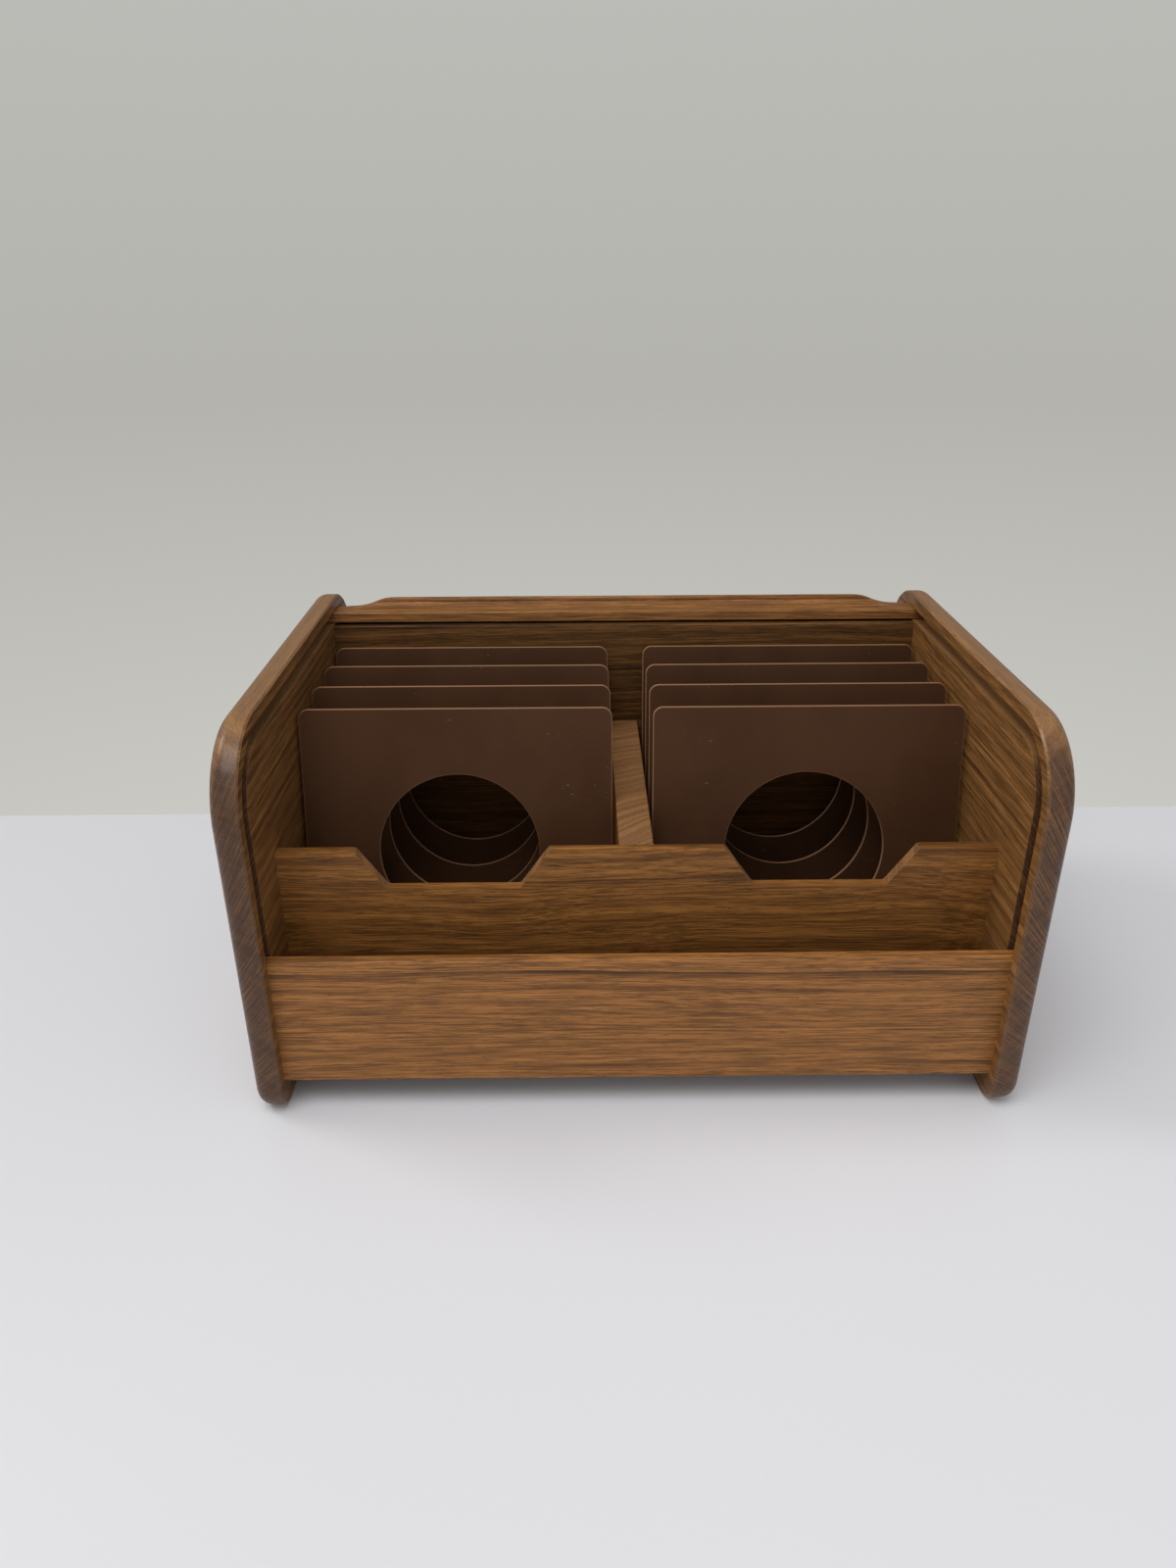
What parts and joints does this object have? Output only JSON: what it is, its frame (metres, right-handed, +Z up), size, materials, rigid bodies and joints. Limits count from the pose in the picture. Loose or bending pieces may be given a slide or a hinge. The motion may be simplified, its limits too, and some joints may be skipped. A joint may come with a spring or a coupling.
{
  "type": "tambour storage box",
  "caption": "Open wooden tambour box for disc cases, with rounded side panels, a sliding slatted lid, a front pocket and leaning plastic dividers.",
  "frame": {"origin": "on the table, under the middle of the case", "axes": "+X to the right seen from the front, +Y to the back, +Z up; the open front faces -Y"},
  "size_m": [0.329, 0.23, 0.174],
  "materials": {
    "teak_side": "oiled, satin",
    "teak_board": "oiled, satin",
    "teak_front": "oiled, satin",
    "teak_rail": "oiled, satin",
    "teak_slat": "oiled, satin",
    "divider_plastic": "satin moulded",
    "canvas": "plain woven"
  },
  "bodies": {
    "case": {"left_side": "teak_side", "right_side": "teak_side", "base_board": "teak_board", "front_apron": "teak_front", "notched_board": "teak_board", "centre_partition": "teak_board", "inner_back_board": "teak_board"},
    "lead_rail": {"lead_rail": "teak_rail", "tambour_canvas": "canvas"},
    "slat_01": {"slat_01": "teak_slat"},
    "slat_02": {"slat_02": "teak_slat"},
    "slat_03": {"slat_03": "teak_slat"},
    "slat_04": {"slat_04": "teak_slat"},
    "slat_05": {"slat_05": "teak_slat"},
    "slat_06": {"slat_06": "teak_slat"},
    "slat_07": {"slat_07": "teak_slat"},
    "slat_08": {"slat_08": "teak_slat"},
    "slat_09": {"slat_09": "teak_slat"},
    "slat_10": {"slat_10": "teak_slat"},
    "slat_11": {"slat_11": "teak_slat"},
    "slat_12": {"slat_12": "teak_slat"},
    "slat_13": {"slat_13": "teak_slat"},
    "slat_14": {"slat_14": "teak_slat"},
    "slat_15": {"slat_15": "teak_slat"},
    "slat_16": {"slat_16": "teak_slat"},
    "slat_17": {"slat_17": "teak_slat"},
    "slat_18": {"slat_18": "teak_slat"},
    "slat_19": {"slat_19": "teak_slat"},
    "slat_20": {"slat_20": "teak_slat"},
    "slat_21": {"slat_21": "teak_slat"},
    "slat_22": {"slat_22": "teak_slat"},
    "slat_23": {"slat_23": "teak_slat"},
    "slat_24": {"slat_24": "teak_slat"},
    "slat_25": {"slat_25": "teak_slat"},
    "slat_26": {"slat_26": "teak_slat"},
    "slat_27": {"slat_27": "teak_slat"},
    "slat_28": {"slat_28": "teak_slat"},
    "slat_29": {"slat_29": "teak_slat"},
    "slat_30": {"slat_30": "teak_slat"},
    "divider_left_1": {"divider_left_1": "divider_plastic"},
    "divider_left_2": {"divider_left_2": "divider_plastic"},
    "divider_left_3": {"divider_left_3": "divider_plastic"},
    "divider_left_4": {"divider_left_4": "divider_plastic"},
    "divider_right_1": {"divider_right_1": "divider_plastic"},
    "divider_right_2": {"divider_right_2": "divider_plastic"},
    "divider_right_3": {"divider_right_3": "divider_plastic"},
    "divider_right_4": {"divider_right_4": "divider_plastic"}
  },
  "joints": [
    {"name": "rail_slide", "type": "slide", "parent": "case", "child": "lead_rail", "axis": [0, -1, 0], "range_m": [0, 0.154], "deforming": ["tambour_canvas"]},
    {"name": "slat_01_travel", "type": "hinge", "parent": "case", "child": "slat_01", "pos_m": [0, 0.01195, -0.19386], "axis": [1, 0, 0], "range_deg": [0, 24.42], "deforming": ["slat_01"]},
    {"name": "slat_02_travel", "type": "hinge", "parent": "case", "child": "slat_02", "pos_m": [0, 0.01615, -0.00249], "axis": [1, 0, 0], "range_deg": [0, 50.36], "deforming": ["slat_02"]},
    {"name": "slat_03_travel", "type": "hinge", "parent": "case", "child": "slat_03", "pos_m": [0, 0.02035, 0.06168], "axis": [1, 0, 0], "range_deg": [0, 76.31], "deforming": ["slat_03"]},
    {"name": "slat_04_travel", "type": "hinge", "parent": "case", "child": "slat_04", "pos_m": [0, 0.02257, 0.08157], "axis": [1, 0, 0], "range_deg": [0, 90.01], "deforming": ["slat_04"]},
    {"name": "slat_05_travel", "type": "hinge", "parent": "case", "child": "slat_05", "pos_m": [0, 0.02257, 0.08157], "axis": [1, 0, 0], "range_deg": [0, 90.01], "deforming": ["slat_05"]},
    {"name": "slat_06_travel", "type": "hinge", "parent": "case", "child": "slat_06", "pos_m": [0, 0.02257, 0.08157], "axis": [1, 0, 0], "range_deg": [0, 90.01], "deforming": ["slat_06"]},
    {"name": "slat_07_travel", "type": "hinge", "parent": "case", "child": "slat_07", "pos_m": [0, 0.02257, 0.08157], "axis": [1, 0, 0], "range_deg": [0, 90.01], "deforming": ["slat_07"]},
    {"name": "slat_08_travel", "type": "hinge", "parent": "case", "child": "slat_08", "pos_m": [0, 0.02257, 0.08157], "axis": [1, 0, 0], "range_deg": [0, 90.01], "deforming": ["slat_08"]},
    {"name": "slat_09_travel", "type": "hinge", "parent": "case", "child": "slat_09", "pos_m": [0, 0.02257, 0.08157], "axis": [1, 0, 0], "range_deg": [0, 90.01], "deforming": ["slat_09"]},
    {"name": "slat_10_travel", "type": "hinge", "parent": "case", "child": "slat_10", "pos_m": [0, 0.02257, 0.08157], "axis": [1, 0, 0], "range_deg": [0, 90.01], "deforming": ["slat_10"]},
    {"name": "slat_11_travel", "type": "hinge", "parent": "case", "child": "slat_11", "pos_m": [0, 0.02257, 0.08157], "axis": [1, 0, 0], "range_deg": [0, 90.01], "deforming": ["slat_11"]},
    {"name": "slat_12_travel", "type": "hinge", "parent": "case", "child": "slat_12", "pos_m": [0, 0.02257, 0.08157], "axis": [1, 0, 0], "range_deg": [0, 90.01], "deforming": ["slat_12"]},
    {"name": "slat_13_travel", "type": "hinge", "parent": "case", "child": "slat_13", "pos_m": [0, 0.02257, 0.08157], "axis": [1, 0, 0], "range_deg": [0, 90.01], "deforming": ["slat_13"]},
    {"name": "slat_14_travel", "type": "hinge", "parent": "case", "child": "slat_14", "pos_m": [0, 0.02257, 0.08157], "axis": [1, 0, 0], "range_deg": [0, 90.01], "deforming": ["slat_14"]},
    {"name": "slat_15_travel", "type": "hinge", "parent": "case", "child": "slat_15", "pos_m": [0, 0.02257, 0.08157], "axis": [1, 0, 0], "range_deg": [0, 90.01], "deforming": ["slat_15"]},
    {"name": "slat_16_travel", "type": "hinge", "parent": "case", "child": "slat_16", "pos_m": [0, 0.02257, 0.08157], "axis": [1, 0, 0], "range_deg": [0, 90.01], "deforming": ["slat_16"]},
    {"name": "slat_17_travel", "type": "hinge", "parent": "case", "child": "slat_17", "pos_m": [0, 0.02257, 0.08157], "axis": [1, 0, 0], "range_deg": [0, 90.01], "deforming": ["slat_17"]},
    {"name": "slat_18_travel", "type": "hinge", "parent": "case", "child": "slat_18", "pos_m": [0, 0.03074, 0.0829], "axis": [1, 0, 0], "range_deg": [0, 97.14], "deforming": ["slat_18"]},
    {"name": "slat_19_travel", "type": "hinge", "parent": "case", "child": "slat_19", "pos_m": [0, 0.05231, 0.08562], "axis": [1, 0, 0], "range_deg": [0, 119.74], "deforming": ["slat_19"]},
    {"name": "slat_20_travel", "type": "hinge", "parent": "case", "child": "slat_20", "pos_m": [0, 0.06237, 0.08579], "axis": [1, 0, 0], "range_deg": [0, 132.15], "deforming": ["slat_20"]},
    {"name": "slat_21_travel", "type": "hinge", "parent": "case", "child": "slat_21", "pos_m": [0, 0.04629, 0.08735], "axis": [1, 0, 0], "range_deg": [0, 112.37], "deforming": ["slat_21"]},
    {"name": "slat_22_travel", "type": "hinge", "parent": "case", "child": "slat_22", "pos_m": [0, 0.02386, 0.09114], "axis": [1, 0, 0], "range_deg": [0, 90.01], "deforming": ["slat_22"]},
    {"name": "slat_23_travel", "type": "hinge", "parent": "case", "child": "slat_23", "pos_m": [0, 0.02386, 0.09114], "axis": [1, 0, 0], "range_deg": [0, 90.01], "deforming": ["slat_23"]},
    {"name": "slat_24_travel", "type": "hinge", "parent": "case", "child": "slat_24", "pos_m": [0, 0.02386, 0.09114], "axis": [1, 0, 0], "range_deg": [0, 90.01], "deforming": ["slat_24"]},
    {"name": "slat_25_travel", "type": "hinge", "parent": "case", "child": "slat_25", "pos_m": [0, 0.02386, 0.09114], "axis": [1, 0, 0], "range_deg": [0, 90.01], "deforming": ["slat_25"]},
    {"name": "slat_26_travel", "type": "hinge", "parent": "case", "child": "slat_26", "pos_m": [0, 0.02386, 0.09114], "axis": [1, 0, 0], "range_deg": [0, 90.01], "deforming": ["slat_26"]},
    {"name": "slat_27_travel", "type": "hinge", "parent": "case", "child": "slat_27", "pos_m": [0, 0.02386, 0.09114], "axis": [1, 0, 0], "range_deg": [0, 90.01], "deforming": ["slat_27"]},
    {"name": "slat_28_travel", "type": "hinge", "parent": "case", "child": "slat_28", "pos_m": [0, 0.02386, 0.09114], "axis": [1, 0, 0], "range_deg": [0, 90.01], "deforming": ["slat_28"]},
    {"name": "slat_29_travel", "type": "hinge", "parent": "case", "child": "slat_29", "pos_m": [0, 0.02386, 0.09114], "axis": [1, 0, 0], "range_deg": [0, 90.01], "deforming": ["slat_29"]},
    {"name": "slat_30_travel", "type": "hinge", "parent": "case", "child": "slat_30", "pos_m": [0, 0.02386, 0.09114], "axis": [1, 0, 0], "range_deg": [0, 90.01], "deforming": ["slat_30"]},
    {"name": "divider_left_1_tilt", "type": "hinge", "parent": "case", "child": "divider_left_1", "pos_m": [-0.08, -0.0481, 0.01845], "axis": [1, 0, 0], "range_deg": [0, 10.5]},
    {"name": "divider_left_2_tilt", "type": "hinge", "parent": "case", "child": "divider_left_2", "pos_m": [-0.08, -0.01927, 0.01845], "axis": [1, 0, 0], "range_deg": [0, 10.5]},
    {"name": "divider_left_3_tilt", "type": "hinge", "parent": "case", "child": "divider_left_3", "pos_m": [-0.08, 0.00957, 0.01845], "axis": [1, 0, 0], "range_deg": [0, 10.5]},
    {"name": "divider_left_4_tilt", "type": "hinge", "parent": "case", "child": "divider_left_4", "pos_m": [-0.08, 0.03841, 0.01845], "axis": [1, 0, 0], "range_deg": [0, 10.5]},
    {"name": "divider_right_1_tilt", "type": "hinge", "parent": "case", "child": "divider_right_1", "pos_m": [0.08, -0.0481, 0.01845], "axis": [1, 0, 0], "range_deg": [0, 10.5]},
    {"name": "divider_right_2_tilt", "type": "hinge", "parent": "case", "child": "divider_right_2", "pos_m": [0.08, -0.01927, 0.01845], "axis": [1, 0, 0], "range_deg": [0, 10.5]},
    {"name": "divider_right_3_tilt", "type": "hinge", "parent": "case", "child": "divider_right_3", "pos_m": [0.08, 0.00957, 0.01845], "axis": [1, 0, 0], "range_deg": [0, 10.5]},
    {"name": "divider_right_4_tilt", "type": "hinge", "parent": "case", "child": "divider_right_4", "pos_m": [0.08, 0.03841, 0.01845], "axis": [1, 0, 0], "range_deg": [0, 10.5]}
  ],
  "couplings": [
    {"joint": "slat_01_travel", "follows": "rail_slide", "rad_per_m": 2.7654},
    {"joint": "slat_02_travel", "follows": "rail_slide", "rad_per_m": 5.7059},
    {"joint": "slat_03_travel", "follows": "rail_slide", "rad_per_m": 8.6463},
    {"joint": "slat_04_travel", "follows": "rail_slide", "rad_per_m": 10.2},
    {"joint": "slat_05_travel", "follows": "rail_slide", "rad_per_m": 10.2},
    {"joint": "slat_06_travel", "follows": "rail_slide", "rad_per_m": 10.2},
    {"joint": "slat_07_travel", "follows": "rail_slide", "rad_per_m": 10.2},
    {"joint": "slat_08_travel", "follows": "rail_slide", "rad_per_m": 10.2},
    {"joint": "slat_09_travel", "follows": "rail_slide", "rad_per_m": 10.2},
    {"joint": "slat_10_travel", "follows": "rail_slide", "rad_per_m": 10.2},
    {"joint": "slat_11_travel", "follows": "rail_slide", "rad_per_m": 10.2},
    {"joint": "slat_12_travel", "follows": "rail_slide", "rad_per_m": 10.2},
    {"joint": "slat_13_travel", "follows": "rail_slide", "rad_per_m": 10.2},
    {"joint": "slat_14_travel", "follows": "rail_slide", "rad_per_m": 10.2},
    {"joint": "slat_15_travel", "follows": "rail_slide", "rad_per_m": 10.2},
    {"joint": "slat_16_travel", "follows": "rail_slide", "rad_per_m": 10.2},
    {"joint": "slat_17_travel", "follows": "rail_slide", "rad_per_m": 10.2},
    {"joint": "slat_18_travel", "follows": "rail_slide", "rad_per_m": 11.008},
    {"joint": "slat_19_travel", "follows": "rail_slide", "rad_per_m": 13.569},
    {"joint": "slat_20_travel", "follows": "rail_slide", "rad_per_m": 14.975},
    {"joint": "slat_21_travel", "follows": "rail_slide", "rad_per_m": 12.734},
    {"joint": "slat_22_travel", "follows": "rail_slide", "rad_per_m": 10.2},
    {"joint": "slat_23_travel", "follows": "rail_slide", "rad_per_m": 10.2},
    {"joint": "slat_24_travel", "follows": "rail_slide", "rad_per_m": 10.2},
    {"joint": "slat_25_travel", "follows": "rail_slide", "rad_per_m": 10.2},
    {"joint": "slat_26_travel", "follows": "rail_slide", "rad_per_m": 10.2},
    {"joint": "slat_27_travel", "follows": "rail_slide", "rad_per_m": 10.2},
    {"joint": "slat_28_travel", "follows": "rail_slide", "rad_per_m": 10.2},
    {"joint": "slat_29_travel", "follows": "rail_slide", "rad_per_m": 10.2},
    {"joint": "slat_30_travel", "follows": "rail_slide", "rad_per_m": 10.2}
  ]
}
